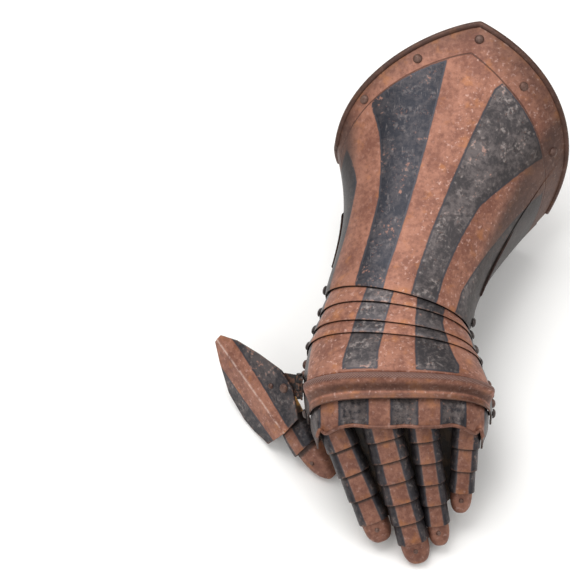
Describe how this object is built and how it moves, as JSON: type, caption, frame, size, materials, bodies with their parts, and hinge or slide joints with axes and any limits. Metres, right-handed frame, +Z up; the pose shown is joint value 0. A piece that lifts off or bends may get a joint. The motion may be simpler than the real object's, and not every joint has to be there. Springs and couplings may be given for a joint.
{
  "type": "armoured gauntlet",
  "caption": "left-hand plate gauntlet in black and russet steel with a long flared cuff, wrist lames, roped knuckle ridge, scaled fingers and a hinged thumb",
  "frame": {"origin": "middle of the bounding box on the floor", "axes": "+Y runs from the fingers to the mouth of the cuff, +Z up through the back of the hand, +X to the little finger side"},
  "size_m": [0.213, 0.3028, 0.1257],
  "materials": {
    "russet_steel": "satin",
    "bare_steel": "satin",
    "blackened_iron": "satin",
    "tan_leather": "matte"
  },
  "bodies": {
    "cuff": {"cuff_back": "russet_steel", "cuff_inner": "bare_steel", "rivet_wrist_1_left": "blackened_iron", "rivet_wrist_1_right": "blackened_iron"},
    "lame_1": {"wrist_lame_1": "russet_steel", "rivet_wrist_2_left": "blackened_iron", "rivet_wrist_2_right": "blackened_iron"},
    "lame_2": {"wrist_lame_2": "russet_steel", "rivet_wrist_3_left": "blackened_iron", "rivet_wrist_3_right": "blackened_iron"},
    "lame_3": {"wrist_lame_3": "russet_steel", "rivet_wrist_4_left": "blackened_iron", "rivet_wrist_4_right": "blackened_iron"},
    "hand": {"hand_plate": "russet_steel", "thumb_hinge_hand": "blackened_iron", "thumb_hinge_pin": "blackened_iron", "rivet_knuckle_left": "blackened_iron", "rivet_knuckle_right": "blackened_iron"},
    "knuckles": {"knuckle_lame": "bare_steel", "index_scale_1": "russet_steel", "index_scale_2": "russet_steel", "index_scale_3": "russet_steel", "index_scale_4": "russet_steel", "index_tip": "russet_steel", "index_leather": "tan_leather", "middle_scale_1": "russet_steel", "middle_scale_2": "russet_steel", "middle_scale_3": "russet_steel", "middle_scale_4": "russet_steel", "middle_scale_5": "russet_steel", "middle_scale_6": "russet_steel", "middle_tip": "russet_steel", "middle_leather": "tan_leather", "ring_scale_1": "russet_steel", "ring_scale_2": "russet_steel", "ring_scale_3": "russet_steel", "ring_scale_4": "russet_steel", "ring_scale_5": "russet_steel", "ring_tip": "russet_steel", "ring_leather": "tan_leather", "little_scale_1": "russet_steel", "little_scale_2": "russet_steel", "little_scale_3": "russet_steel", "little_tip": "russet_steel", "little_leather": "tan_leather"},
    "thumb": {"thumb_plate": "russet_steel", "thumb_lame": "russet_steel", "thumb_tip": "russet_steel", "thumb_leather": "tan_leather", "thumb_hinge_thumb": "blackened_iron"}
  },
  "joints": [
    {"name": "wrist_1", "type": "hinge", "parent": "cuff", "child": "lame_1", "pos_m": [0.00371, 0.0004, 0.045], "axis": [0.9695, -0.2452, 0], "range_deg": [0, 7]},
    {"name": "wrist_2", "type": "hinge", "parent": "lame_1", "child": "lame_2", "pos_m": [0.00251, -0.0116, 0.045], "axis": [0.9854, -0.1703, 0], "range_deg": [0, 7]},
    {"name": "wrist_3", "type": "hinge", "parent": "lame_2", "child": "lame_3", "pos_m": [0.00171, -0.0226, 0.045], "axis": [0.9901, -0.14, 0], "range_deg": [0, 7]},
    {"name": "wrist_4", "type": "hinge", "parent": "lame_3", "child": "hand", "pos_m": [0.00111, -0.0321, 0.045], "axis": [0.9946, -0.1034, 0], "range_deg": [0, 7]},
    {"name": "knuckle", "type": "hinge", "parent": "hand", "child": "knuckles", "pos_m": [0.00321, -0.0726, 0.045], "axis": [1, 0, 0], "range_deg": [0, 12]},
    {"name": "thumb", "type": "hinge", "parent": "hand", "child": "thumb", "pos_m": [-0.05599, -0.0548, 0.0464], "axis": [0, -0.7567, -0.6537], "range_deg": [-25, 40]}
  ]
}
